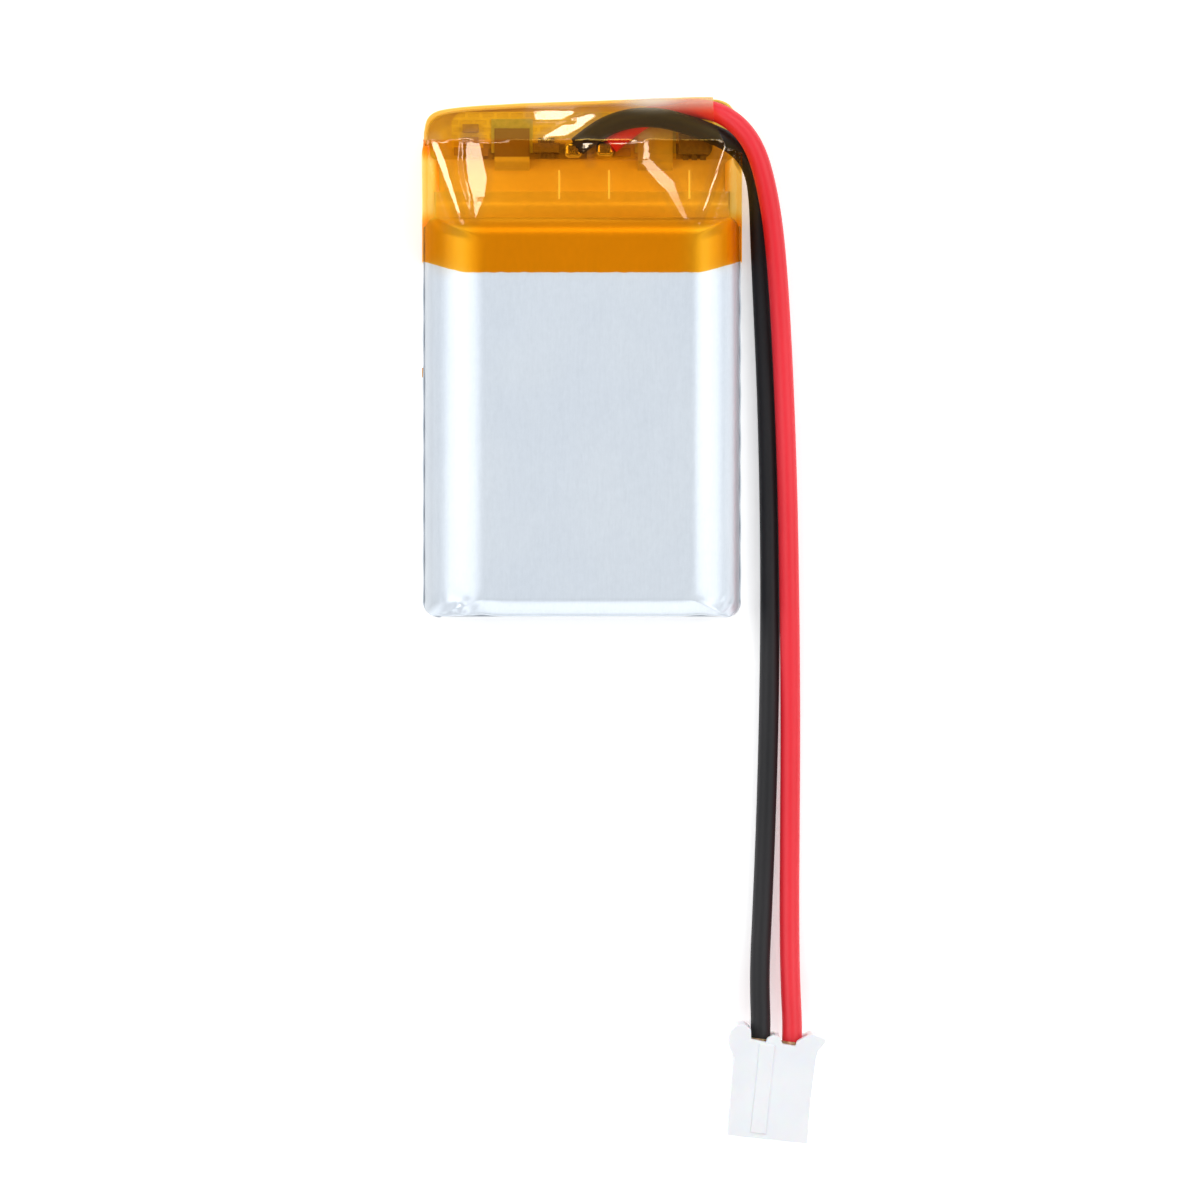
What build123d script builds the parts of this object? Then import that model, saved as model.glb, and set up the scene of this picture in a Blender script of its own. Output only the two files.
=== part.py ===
from build123d import *
import os
from math import cos, pi, radians, sin, tan

# A single-cell lithium-polymer battery pack: a wound pouch cell, its protection board, the
# polyimide tape round the tab end, and two leads that end in a two-way crimp connector.
# Millimetres. The pack lies on its flat back: +X across it, +Y towards the tabs, +Z to the
# front. The origin is the middle of the back, without the leads and the connector.

# ---- driving dimensions ----
pack_width = 20.0
pack_length = 32.56
pack_thickness = 6.0
tape_thickness = 0.07
laminate = 0.12

end_y = pack_length / 2
half_width = pack_width / 2
tape_edge_y = 5.15
cup_top_y = 8.6
terrace_end_y = 10.47
terrace_half = 9.3
shoulder_radius = 1.0
cup_corner_radius = 0.9
back_corner_radius = 0.5
wing_height = 3.0
wing_gap = 0.06

tab_width = 2.2
tab_thickness = 0.1
positive_tab_x = 4.6
negative_tab_x = -4.4
sealant_width = 5.05
sealant_x = {"positive": 4.22, "negative": -3.97}

board_length = 16.4
board_y = (12.5, 15.45)
board_z = (0.30, 0.90)

lead_diameter = 1.25
core_diameter = 0.48
strip_board = 0.8
strip_plug = 1.3

contact_pitch = 2.0
contact_z = 2.25
plug_tilt = 6.0
plug_face = (11.56, -48.84)
plug_length = 6.9
plug_width = 5.0
plug_ear_width = 6.1
plug_height = 4.25

# ---- sizes that follow from them ----
pouch_half = half_width - tape_thickness
front_z = pack_thickness - tape_thickness
cup_half = pouch_half - 2 * laminate - wing_gap
side_radius = front_z - wing_height - 0.05
recess_y = tape_edge_y - 0.22
back_top = laminate
taped_back_top = tape_thickness + laminate
terrace_top = 0.44

os.makedirs("parts", exist_ok=True)


def slab(x, y, z, mode=Mode.ADD):
    """A box between two limits along each axis, for the part that is being built."""
    with Locations((sum(x) / 2, sum(y) / 2, sum(z) / 2)):
        Box(x[1] - x[0], y[1] - y[0], z[1] - z[0], mode=mode)


def rounded_block(half, y, z, long_radius, end_radius, corner_radius):
    """A block with its front edges rounded: the long ones, the end ones and the corners."""
    with BuildPart() as block:
        with BuildSketch(Plane.XZ.offset(-y[1])) as cross_section:
            with Locations((0, sum(z) / 2)):
                Rectangle(2 * half, z[1] - z[0])
            fillet(cross_section.vertices().group_by(Axis.Y)[-1], radius=long_radius)
        extrude(amount=y[1] - y[0])
        with BuildSketch(Plane.YZ.offset(-half)) as long_section:
            with Locations((sum(y) / 2, sum(z) / 2)):
                Rectangle(y[1] - y[0], z[1] - z[0])
            fillet(long_section.vertices().group_by(Axis.Y)[-1], radius=end_radius)
        extrude(amount=2 * half, mode=Mode.INTERSECT)
        with BuildSketch(Plane.XY.offset(z[0])) as plan:
            with Locations((0, sum(y) / 2)):
                Rectangle(2 * half, y[1] - y[0])
            fillet(plan.vertices(), radius=corner_radius)
        extrude(amount=z[1] - z[0], mode=Mode.INTERSECT)
    return block.part


# ---- the pouch: a deep-drawn front cup and a flat back sheet, sealed along three sides ----
# Both sheets' side seals are folded up against the cup as wings. The cup's deep side faces
# the front, so the terrace that the tabs leave through lies near the back.
wing_y = (-end_y + 0.25, cup_top_y - 0.3)
inner_wing = (cup_half + wing_gap, cup_half + wing_gap + laminate)
outer_wing = (pouch_half - laminate, pouch_half)
sealant_z = (taped_back_top, taped_back_top + 0.16)

with BuildPart() as pouch_back_sheet:
    slab((-pouch_half, pouch_half), (-end_y, recess_y), (0, back_top))
    slab((-pouch_half, pouch_half), (recess_y - 0.12, cup_top_y - 0.3), (tape_thickness, taped_back_top))
    slab((-terrace_half, terrace_half), (cup_top_y - 0.4, terrace_end_y), (tape_thickness, taped_back_top))
    for side in (-1, 1):
        wing_x = sorted(side * x for x in outer_wing)
        slab(wing_x, (wing_y[0], recess_y), (0, wing_height))
        slab(wing_x, (recess_y - 0.12, wing_y[1]), (tape_thickness, wing_height))
    with BuildSketch(Plane.XY) as outline:
        with Locations((0, (terrace_end_y - end_y) / 2)):
            Rectangle(2 * pouch_half, end_y + terrace_end_y)
        fillet(outline.vertices(), radius=back_corner_radius)
    extrude(amount=wing_height, mode=Mode.INTERSECT)
pouch_back_sheet.part.label = "pouch_back_sheet"
export_step(pouch_back_sheet.part, "parts/pouch_back_sheet.step")

cup_outside = rounded_block(
    cup_half,
    (-end_y, cup_top_y),
    (back_top, front_z),
    side_radius,
    shoulder_radius,
    cup_corner_radius,
)
cup_inside = rounded_block(
    cup_half - laminate,
    (-end_y + laminate, cup_top_y - laminate),
    (0, front_z - laminate),
    side_radius - laminate,
    shoulder_radius - laminate,
    cup_corner_radius - laminate,
)

with BuildPart() as pouch_front_cup:
    add(cup_outside)
    slab((-terrace_half, terrace_half), (cup_top_y - laminate, terrace_end_y), (taped_back_top, terrace_top))
    for side in (-1, 1):
        slab(sorted(side * x for x in inner_wing), wing_y, (back_top, wing_height))
        fold_x = sorted((side * (cup_half - laminate), side * inner_wing[1]))
        slab(fold_x, wing_y, (back_top, taped_back_top + laminate))
    add(cup_inside, mode=Mode.SUBTRACT)
    slab((-half_width, half_width), (recess_y - 0.12, cup_top_y), (0, taped_back_top), Mode.SUBTRACT)
    for x in sealant_x.values():
        sealant_span = (x - sealant_width / 2, x + sealant_width / 2)
        slab(sealant_span, (cup_top_y - 2 * laminate, terrace_end_y), sealant_z, Mode.SUBTRACT)
pouch_front_cup.part.label = "pouch_front_cup"
export_step(pouch_front_cup.part, "parts/pouch_front_cup.step")

# ---- the wound electrodes: four strips in one flattened spiral ----
# Half-turn k has radius first_radius + k * pitch / 2, and the half-turns' centres alternate
# in height by half a pitch, so that the straight stretches between them join level.
half_turns = 8
winding_pitch = 0.55
first_radius = 0.25
bend_x = 6.64
winding_z = 3.305
inner_end_x = -5.0
outer_end_x = 3.0


def wound_strip(layer, thickness, y):
    """A strip wound in one layer of the spiral, between two places along the cell."""
    with BuildPart() as strip:
        with BuildSketch(Plane.XZ.offset(-y[1])):
            with BuildLine():
                ends = []
                for face in (layer - thickness / 2, layer + thickness / 2):
                    last = (inner_end_x, winding_z - first_radius - face)
                    ends.append(last)
                    for k in range(half_turns):
                        side = 1 if k % 2 == 0 else -1
                        centre = (side * bend_x, winding_z - (k % 2) * winding_pitch / 2)
                        radius = first_radius + k * winding_pitch / 2 + face
                        Line(last, (centre[0], centre[1] - side * radius))
                        CenterArc(centre, radius, -90 * side, 180)
                        last = (centre[0], centre[1] + side * radius)
                    Line(last, (outer_end_x, last[1]))
                    ends.append((outer_end_x, last[1]))
                Line(ends[0], ends[2])
                Line(ends[1], ends[3])
            make_face()
        extrude(amount=y[1] - y[0])
    return strip


strips = {
    "separator_inner": (0.02, 0.04, (-15.7, 8.0)),
    "cathode_strip": (0.135, 0.15, (-15.1, 7.2)),
    "separator_outer": (0.25, 0.04, (-15.7, 8.0)),
    "anode_strip": (0.36, 0.14, (-15.4, 7.6)),
}
for strip_name, (layer, thickness, y) in strips.items():
    strip = wound_strip(layer, thickness, y)
    strip.part.label = strip_name
    export_step(strip.part, f"parts/{strip_name}.step")

# A strip of adhesive film holds the outer end of the winding down, on the back of the roll.
roll_back_z = winding_z - winding_pitch / 2 - first_radius - (half_turns - 1) * winding_pitch / 2 - 0.43
with BuildPart() as roll_tape:
    slab((outer_end_x + 0.1, outer_end_x + 4.0), (-13.0, -10.5), (roll_back_z + 0.02, roll_back_z + 0.06))
    slab((outer_end_x - 4.0, outer_end_x + 0.3), (-13.0, -10.5), (roll_back_z - 0.04, roll_back_z))
    slab((outer_end_x + 0.1, outer_end_x + 0.3), (-13.0, -10.5), (roll_back_z - 0.04, roll_back_z + 0.06))
roll_tape.part.label = "roll_tape"
export_step(roll_tape.part, "parts/roll_tape.step")

# ---- the tabs, with the sealant film that bonds each one into the terrace ----
# Each tab leaves the cell through the terrace and steps up on to the board's weld pad.
tab_z = sealant_z[0] + 0.08
pad_top = board_z[1] + 0.1
tab_inner_y = -9.0
tab_end_y = 14.4


def tab(x):
    """A flat tab of rectangular section, centred at x."""
    with BuildPart() as strip:
        with BuildSketch(Plane.YZ.offset(x - tab_width / 2)):
            with BuildLine():
                FilletPolyline(
                    (tab_inner_y, tab_z),
                    (11.9, tab_z),
                    (12.3, pad_top + tab_thickness / 2),
                    (tab_end_y, pad_top + tab_thickness / 2),
                    radius=0.15,
                )
            trace(line_width=tab_thickness)
        extrude(amount=tab_width)
    return strip


for pole, x in (("positive", positive_tab_x), ("negative", negative_tab_x)):
    strip = tab(x)
    strip.part.label = f"{pole}_tab"
    export_step(strip.part, f"parts/{pole}_tab.step")
    with BuildPart() as sealant:
        middle = sealant_x[pole]
        slab((middle - sealant_width / 2, middle + sealant_width / 2), (cup_top_y + 0.05, 11.78), sealant_z)
        slab(
            (x - tab_width / 2, x + tab_width / 2),
            (cup_top_y, 11.9),
            (tab_z - tab_thickness / 2, tab_z + tab_thickness / 2),
            Mode.SUBTRACT,
        )
    sealant.part.label = f"{pole}_tab_sealant"
    export_step(sealant.part, f"parts/{pole}_tab_sealant.step")

# ---- the protection board and what is on it ----
with BuildPart() as pcm_board:
    slab((-board_length / 2, board_length / 2), board_y, board_z)
    fillet(pcm_board.edges().filter_by(Axis.Z), radius=0.8)
pcm_board.part.label = "pcm_board"
export_step(pcm_board.part, "parts/pcm_board.step")

with BuildPart() as insulation_paper:
    slab((-8.0, 8.0), (12.0, 15.2), (0.10, 0.25))
insulation_paper.part.label = "insulation_paper"
export_step(insulation_paper.part, "parts/insulation_paper.step")

pad_length = 2.6
for pole, x in (("positive", positive_tab_x), ("negative", negative_tab_x)):
    with BuildPart() as pad:
        slab((x - pad_length / 2, x + pad_length / 2), (12.85, 15.0), (board_z[1], pad_top))
    pad.part.label = f"{pole}_weld_pad"
    export_step(pad.part, f"parts/{pole}_weld_pad.step")


def leaded_chip(middle, size, leads, lead_width):
    """A moulded chip on the board: its size, how many leads each long side has, and their width."""
    length, width, height = size
    with BuildPart() as chip:
        with Locations((middle[0], middle[1], board_z[1] + height / 2 + 0.05)):
            Box(length, width, height - 0.1)
        fillet(chip.faces().sort_by(Axis.Z)[-1].edges(), radius=0.08)
        with Locations((middle[0], middle[1], board_z[1])):
            with GridLocations((length - 0.9) / (leads - 1), width + 0.3, leads, 2):
                Box(lead_width, 0.4, 0.25, align=(Align.CENTER, Align.CENTER, Align.MIN))
    return chip


chips = {
    "protection_ic": leaded_chip((7.05, 13.4), (2.0, 1.3, 0.8), 3, 0.35),
    "mosfet_pair": leaded_chip((-2.25, 13.15), (1.7, 0.6, 0.6), 4, 0.22),
}
for chip_name, chip in chips.items():
    chip.part.label = chip_name
    export_step(chip.part, f"parts/{chip_name}.step")

# Chip resistors and capacitors: 1.0 x 0.5 bodies, with their long side across the pack.
chip_groups = {
    "chip_resistors": ((-6.4, 12.9), (2.55, 12.9), (-7.55, 12.95)),
    "chip_capacitors": ((-7.0, 14.4), (-7.0, 13.6)),
}
for group_name, places in chip_groups.items():
    with BuildPart() as group:
        with Locations(*((x, y, board_z[1] + 0.175) for x, y in places)):
            Box(1.0, 0.5, 0.35)
    group.part.label = group_name
    export_step(group.part, f"parts/{group_name}.step")

# ---- the leads: two stranded wires that cross twice under and beside the tape ----
# Their plug ends lie on the contacts' axes, in the connector's own frame: its x runs along
# the row of contacts and its y from the mating face towards the wires.
tilt = radians(plug_tilt)
plug_frame = Plane(origin=(*plug_face, 0), x_dir=(cos(tilt), -sin(tilt), 0), z_dir=(0, 0, 1))
jacket_end = 4.75
mouth = 6.3


def plug_point(x, along):
    """A place on a contact's axis, from the connector's frame to the pack's."""
    return tuple(plug_frame.from_local_coords(Vector(x, along, contact_z)))


routes = {
    "red": [
        (1.75, 13.35, 1.56),
        (2.9, 14.3, 1.57),
        (4.0, 15.03, 1.66),
        (5.2, 15.38, 1.92),
        (6.95, 15.56, 2.42),
        (8.4, 15.31, 2.88),
        (9.58, 14.62, 3.2),
        (10.46, 13.6, 3.34),
        (11.04, 12.4, 3.3),
        (11.5, 10.75, 3.08),
        (11.9, 8.6, 2.72),
        (12.2, 5.9, 2.28),
        (12.47, 2.0, 1.84),
        (12.74, -3.6, 1.48),
        (12.93, -9.8, 1.4),
        (13.03, -16.2, 1.3),
        (13.1, -22.6, 0.78),
        (13.06, -29.2, 0.66),
        (13.02, -34.8, 0.72),
        (13.05, -39.0, 1.35),
        plug_point(contact_pitch / 2, mouth),
        plug_point(contact_pitch / 2, jacket_end),
    ],
    "black": [
        (-0.25, 13.25, 1.56),
        (0.75, 14.05, 1.9),
        (2.0, 14.66, 2.55),
        (3.4, 14.95, 3.1),
        (5.0, 14.9, 3.3),
        (6.6, 14.48, 3.06),
        (8.0, 14.0, 2.55),
        (9.32, 13.44, 2.12),
        (10.3, 12.6, 1.82),
        (10.88, 11.4, 1.58),
        (11.1, 9.7, 1.34),
        (11.17, 7.4, 1.05),
        (11.35, 3.6, 0.76),
        (11.62, -2.4, 0.66),
        (11.78, -9.0, 0.65),
        (11.83, -15.5, 0.65),
        (11.75, -22.0, 0.65),
        (11.58, -28.5, 0.65),
        (11.33, -34.6, 0.70),
        (11.12, -38.8, 1.30),
        plug_point(-contact_pitch / 2, mouth),
        plug_point(-contact_pitch / 2, jacket_end),
    ],
}


def arc_radii(points):
    """The largest even arc for each corner: 0.45 of the shorter run, over the tangent of half the turn."""
    radii = []
    for before, corner, after in zip(points, points[1:], points[2:]):
        run_in = Vector(*corner) - Vector(*before)
        run_out = Vector(*after) - Vector(*corner)
        half_turn = radians(run_in.get_angle(run_out) / 2)
        radii.append(0.45 * min(run_in.length, run_out.length) / tan(half_turn))
    return radii


def stripped_end(jacket_tip, next_point, length):
    """Where the bare strands end, in line with the jacket's last run."""
    tip = Vector(*jacket_tip)
    return tip + (tip - Vector(*next_point)).normalized() * length


for colour, points in routes.items():
    radii = arc_radii(points)
    with BuildPart() as lead:
        with BuildLine() as route:
            FilletPolyline(*points, radius=radii)
        with BuildSketch(Plane(origin=route.line @ 0, z_dir=route.line % 0)):
            Circle(lead_diameter / 2)
            Circle(core_diameter / 2, mode=Mode.SUBTRACT)
        sweep()
    lead.part.label = f"{colour}_lead"
    export_step(lead.part, f"parts/{colour}_lead.step")
    length = sum(edge.length for edge in route.edges())
    expected = (lead_diameter**2 - core_diameter**2) * pi / 4 * length
    print(f"{colour} lead: length {length:.2f}, volume {lead.part.volume:.2f} of {expected:.2f}")
    print("  arc radii:", ", ".join(f"{radius:.1f}" for radius in radii))

    board_end = stripped_end(points[0], points[1], strip_board)
    plug_end = stripped_end(points[-1], points[-2], strip_plug)
    with BuildPart() as core:
        with BuildLine() as core_route:
            Line(board_end, points[0])
            FilletPolyline(*points, radius=radii)
            Line(points[-1], plug_end)
        with BuildSketch(Plane(origin=board_end, z_dir=Vector(*points[0]) - board_end)):
            Circle(core_diameter / 2 - 0.01)
        sweep()
    core.part.label = f"{colour}_conductor"
    export_step(core.part, f"parts/{colour}_conductor.step")

    middle = (board_end + Vector(*points[0])) * 0.5
    with BuildPart() as solder:
        with Locations((middle.X, middle.Y, board_z[1] + 0.45)):
            Box(1.1, 0.95, 0.9)
        fillet(solder.edges().filter_by(Axis.Z), radius=0.3)
        fillet(solder.faces().sort_by(Axis.Z)[-1].edges(), radius=0.25)
        add(core.part, mode=Mode.SUBTRACT)
        add(lead.part, mode=Mode.SUBTRACT)
    solder.part.label = f"{colour}_solder_joint"
    export_step(solder.part, f"parts/{colour}_solder_joint.step")

# ---- the connector: a two-way crimp housing, two box contacts, 2.0 mm apart ----
wall_at_face = 0.45
cavity_width = 1.7
cavity_z = (1.35, 3.2)
# The housing's outline, from the mating face up its right side, over the right ear, the two
# mouths and the tooth between them, and down over the left ear.
housing_outline = [
    (-plug_width / 2, 0),
    (plug_width / 2, 0),
    (2.42, 2.7),
    (2.48, 5.3),
    (2.56, 5.8),
    (plug_ear_width / 2 - 0.05, 6.42),
    (2.92, 6.62),
    (2.1, 6.8),
    (1.6, 6.55),
    (1.2, 6.25),
    (1.15, 5.95),
    (0.32, 6.0),
    (0.1, 6.45),
    (-0.32, 6.5),
    (-0.66, 6.25),
    (-0.7, 6.0),
    (-1.66, 6.1),
    (-1.74, 6.72),
    (-2.15, plug_length + 0.08),
    (-2.6, plug_length),
    (-2.95, 6.5),
    (-plug_ear_width / 2, 6.05),
    (-2.97, 5.45),
    (-2.62, 4.9),
]
rib_x = (-1.1, -0.15)
rib_height = 0.14
contact_x = (-contact_pitch / 2, contact_pitch / 2)

with BuildPart(plug_frame) as connector_housing:
    with BuildSketch(plug_frame):
        with BuildLine():
            Polyline(*housing_outline, close=True)
        make_face()
    extrude(amount=plug_height)
    slab(rib_x, (0.35, 5.9), (plug_height, plug_height + rib_height))
    for x in contact_x:
        slab(
            (x - cavity_width / 2, x + cavity_width / 2),
            (wall_at_face, plug_length + 1),
            cavity_z,
            Mode.SUBTRACT,
        )
        slab((x - 0.5, x + 0.5), (-1, 1), (contact_z - 0.5, contact_z + 0.5), Mode.SUBTRACT)
        slab((x - 0.45, x + 0.45), (1.6, 3.0), (-1, cavity_z[0] + 0.1), Mode.SUBTRACT)
connector_housing.part.label = "connector_housing"
export_step(connector_housing.part, "parts/connector_housing.step")

socket_width = 1.3
socket_z = (1.45, 3.05)
metal = 0.16
crimp_end = 6.12
jacket_radius = lead_diameter / 2 + 0.01
core_radius = core_diameter / 2 + 0.01
for colour, x in zip(("black", "red"), contact_x):
    with BuildPart(plug_frame) as terminal:
        socket_x = (x - socket_width / 2, x + socket_width / 2)
        slab(socket_x, (0.55, 3.1), socket_z)
        slab(
            (socket_x[0] + metal, socket_x[1] - metal),
            (0, 4),
            (socket_z[0] + metal, socket_z[1] - metal),
            Mode.SUBTRACT,
        )
        slab((x - 0.45, x + 0.45), (3.0, crimp_end), (socket_z[0], socket_z[0] + metal))
        slab((x - 0.2, x + 0.2), (3.55, 4.45), (socket_z[0], contact_z - core_radius))
        for along, depth, bore, shell in ((4.45, 0.9, core_radius, 0.2), (crimp_end, 0.95, jacket_radius, metal)):
            crimp_plane = Plane(
                origin=plug_frame.from_local_coords(Vector(x, along, contact_z)),
                x_dir=plug_frame.x_dir,
                z_dir=-plug_frame.y_dir,
            )
            with BuildSketch(crimp_plane):
                Circle(bore + shell)
            extrude(amount=depth)
            with BuildSketch(crimp_plane):
                Circle(bore)
            extrude(amount=depth, mode=Mode.SUBTRACT)
    terminal.part.label = f"{colour}_terminal"
    export_step(terminal.part, f"parts/{colour}_terminal.step")

# ---- the polyimide tape: a sleeve round the tab end, folded over it ----
# It follows the pouch's front as far as the shoulder, slopes down to a crease above the
# board's edge, and turns down over the board.
profile = [
    (tape_edge_y, 0),
    (tape_edge_y, pack_thickness),
    (7.7, pack_thickness),
    (13.3, 5.0),
    (15.5, 3.8),
    (end_y, 3.0),
    (end_y, 0),
]
plan = [
    (-half_width, tape_edge_y),
    (-half_width, 13.3),
    (-9.85, 14.4),
    (-9.3, 15.2),
    (-8.3, 15.55),
    (0.5, 15.97),
    (8.25, end_y),
    (9.4, end_y - 0.5),
    (half_width, 14.6),
    (half_width, tape_edge_y),
]


def tape_block(inset, front_radius):
    """The tape's outside, or the space inside it: its profile, plan and section, intersected."""
    with BuildPart() as block:
        with BuildSketch(Plane.YZ.offset(-half_width)):
            with BuildLine():
                Polyline(*profile, close=True)
            make_face()
            offset(amount=-inset, kind=Kind.INTERSECTION)
        extrude(amount=pack_width)
        with BuildSketch(Plane.XY):
            with BuildLine():
                Polyline(*plan, close=True)
            make_face()
            offset(amount=-inset, kind=Kind.INTERSECTION)
        extrude(amount=pack_thickness, mode=Mode.INTERSECT)
        with BuildSketch(Plane.XZ.offset(-end_y)) as cross_section:
            with Locations((0, pack_thickness / 2)):
                Rectangle(pack_width - 2 * inset, pack_thickness - 2 * inset)
            fillet(cross_section.vertices().group_by(Axis.Y)[-1], radius=front_radius)
        extrude(amount=end_y, mode=Mode.INTERSECT)
    return block.part


# The leads leave through an opening in the sleeve's right corner, above this height.
opening = [(8.2, 17.0), (8.2, 14.6), (9.0, 12.6), (11.0, 11.5), (11.0, 17.0)]
opening_z = 0.9

tape_outside = tape_block(0, side_radius + tape_thickness)
tape_inside = tape_block(tape_thickness, side_radius)
with BuildPart() as mouth_prolonged:
    with BuildSketch(Plane.XZ.offset(-tape_edge_y - 2 * tape_thickness)) as mouth_section:
        with Locations((0, pack_thickness / 2)):
            Rectangle(pack_width - 2 * tape_thickness, pack_thickness - 2 * tape_thickness)
        fillet(mouth_section.vertices().group_by(Axis.Y)[-1], radius=side_radius)
    extrude(amount=1)

with BuildPart() as polyimide_tape:
    add(tape_outside)
    add(tape_inside, mode=Mode.SUBTRACT)
    add(mouth_prolonged.part, mode=Mode.SUBTRACT)
    with BuildSketch(Plane.XY.offset(opening_z)):
        with BuildLine():
            Polyline(*opening, close=True)
        make_face()
    extrude(amount=pack_thickness, mode=Mode.SUBTRACT)
polyimide_tape.part.label = "polyimide_tape"
export_step(polyimide_tape.part, "parts/polyimide_tape.step")

# A scrap of the same tape holds the folded wing on the left side.
with BuildPart() as wing_tape:
    slab((-half_width, -pouch_half), (-1.3, -0.7), (0.6, 2.8))
wing_tape.part.label = "wing_tape"
export_step(wing_tape.part, "parts/wing_tape.step")
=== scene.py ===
"""The looks of a small lithium-polymer battery pack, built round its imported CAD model.

The frame is the CAD's: metres, +X across the pack, +Y towards the tabs, +Z to its front, and
z = 0 on the surface it lies on. Shapes are written in millimetres and scaled by MM.
"""

import math

import bmesh
import bpy
import numpy as np
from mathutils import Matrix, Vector, noise


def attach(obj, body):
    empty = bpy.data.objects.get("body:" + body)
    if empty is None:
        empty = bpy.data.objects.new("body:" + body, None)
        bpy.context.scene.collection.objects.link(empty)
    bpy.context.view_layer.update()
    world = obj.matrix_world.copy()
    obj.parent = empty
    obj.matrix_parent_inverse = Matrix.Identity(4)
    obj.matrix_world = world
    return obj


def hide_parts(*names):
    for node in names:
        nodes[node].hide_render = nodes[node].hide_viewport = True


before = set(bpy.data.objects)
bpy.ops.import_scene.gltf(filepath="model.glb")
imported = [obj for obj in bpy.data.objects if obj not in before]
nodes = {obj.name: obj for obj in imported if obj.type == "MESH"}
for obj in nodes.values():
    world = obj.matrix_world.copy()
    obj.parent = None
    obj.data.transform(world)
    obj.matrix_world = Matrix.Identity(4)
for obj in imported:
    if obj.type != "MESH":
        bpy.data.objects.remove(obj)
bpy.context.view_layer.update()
MM = 0.001
link = bpy.context.scene.collection.objects.link

# ---------------------------------------------------------------- camera

VIEW_WIDTH = 75.0
VIEW_CENTRE = (1.125, -15.22)
LENS, SENSOR = 200.0, 36.0

camera_data = bpy.data.cameras.new("camera")
camera_data.lens = LENS
camera_data.sensor_width = SENSOR
camera_data.clip_start = 0.005
camera_data.clip_end = 20.0
camera = bpy.data.objects.new("camera", camera_data)
camera_height = VIEW_WIDTH * LENS / SENSOR + 3.0
camera.location = (VIEW_CENTRE[0] * MM, VIEW_CENTRE[1] * MM, camera_height * MM)
link(camera)
bpy.context.scene.camera = camera
bpy.context.scene.view_settings.view_transform = "Standard"

# ---------------------------------------------------------------- helpers


def place(data, name, material):
    """A new visible piece, which rides on the pack."""
    piece = bpy.data.objects.new(name, data)
    link(piece)
    piece.data.materials.append(material)
    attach(piece, "root")
    return piece


def mesh_piece(name, points, faces, material):
    """A smooth mesh piece from points in millimetres."""
    mesh = bpy.data.meshes.new(name)
    mesh.from_pydata([tuple(c * MM for c in p) for p in points], [], faces)
    mesh.validate()
    mesh.shade_smooth()
    return place(mesh, name, material)


def modified(piece, kind, **settings):
    """Adds a modifier with its settings, and applies it."""
    modifier = piece.modifiers.new(kind.lower(), kind)
    for key, value in settings.items():
        setattr(modifier, key, value)
    graph = bpy.context.evaluated_depsgraph_get()
    mesh = bpy.data.meshes.new_from_object(piece.evaluated_get(graph), depsgraph=graph)
    piece.modifiers.clear()
    piece.data = mesh


def smoothstep(low, high, value):
    """0 below low, 1 above high, and a smooth curve between."""
    t = np.clip((value - low) / (high - low), 0, 1)
    return t * t * (3 - 2 * t)


def ripple(x, y, scale, seed):
    """Smooth seeded noise from -1 to 1 at each place, for arrays of places."""
    places = zip(np.ravel(x), np.ravel(y))
    flat = [noise.noise(Vector((a * scale, b * scale, seed))) for a, b in places]
    return np.reshape(flat, np.shape(x))


# ---------------------------------------------------------------- materials


def new_material(name):
    """An empty node material and its tree."""
    material = bpy.data.materials.new(name)
    material.use_nodes = True
    material.node_tree.nodes.clear()
    return material, material.node_tree


def add(tree, kind, inputs=None, **settings):
    """A node with its settings; an input is a number, a colour or another node's output."""
    made = tree.nodes.new("ShaderNode" + kind)
    for key, value in settings.items():
        setattr(made, key, value)
    for key, value in (inputs or {}).items():
        if isinstance(value, bpy.types.NodeSocket):
            tree.links.new(value, made.inputs[key])
        else:
            made.inputs[key].default_value = value
    return made


def math_node(tree, operation, a, b, clamp=False):
    return add(tree, "Math", {0: a, 1: b}, operation=operation, use_clamp=clamp).outputs[0]


def set_sockets(shader, sockets):
    """Sets a shader's own inputs, each named with _ for a space."""
    for key, value in sockets.items():
        shader.inputs[key.replace("_", " ")].default_value = value


def ramp(tree, factor, stops):
    """A colour ramp of (place, colour) stops."""
    made = add(tree, "ValToRGB", {"Fac": factor})
    elements = made.color_ramp.elements
    while len(elements) < len(stops):
        elements.new(0.5)
    for element, (place_at, colour) in zip(elements, stops):
        element.position = place_at
        element.color = (*colour, 1)
    return made.outputs["Color"]


def own_place(tree, scale, stretch=(1, 1, 1)):
    """The object's own coordinates; scale is in cells per millimetre."""
    place_at = add(tree, "TexCoord").outputs["Object"]
    factors = [scale / MM * s for s in stretch]
    return add(tree, "Mapping", {"Vector": place_at, "Scale": factors}).outputs[0]


def grain(tree, scale, stretch=(1, 1, 1), detail=3, roughness=0.55):
    """Noise over the object's own coordinates; scale is in cells per millimetre."""
    inputs = {"Vector": own_place(tree, scale, stretch), "Scale": 1.0}
    inputs |= {"Detail": detail, "Roughness": roughness}
    return add(tree, "TexNoise", inputs).outputs["Fac"]


def own_axes(tree):
    """The object's own x, y and z, in millimetres."""
    place_at = add(tree, "TexCoord").outputs["Object"]
    factors = (1 / MM, 1 / MM, 1 / MM)
    scaled = add(tree, "VectorMath", {0: place_at, 1: factors}, operation="MULTIPLY")
    parts = add(tree, "SeparateXYZ", {0: scaled.outputs[0]})
    return parts.outputs["X"], parts.outputs["Y"], parts.outputs["Z"]


def blended(tree, factor, below, above):
    """One colour where the factor is 0, and another where it is 1."""
    return add(tree, "Mix", {0: factor, 6: below, 7: above}, data_type="RGBA").outputs[2]


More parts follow.
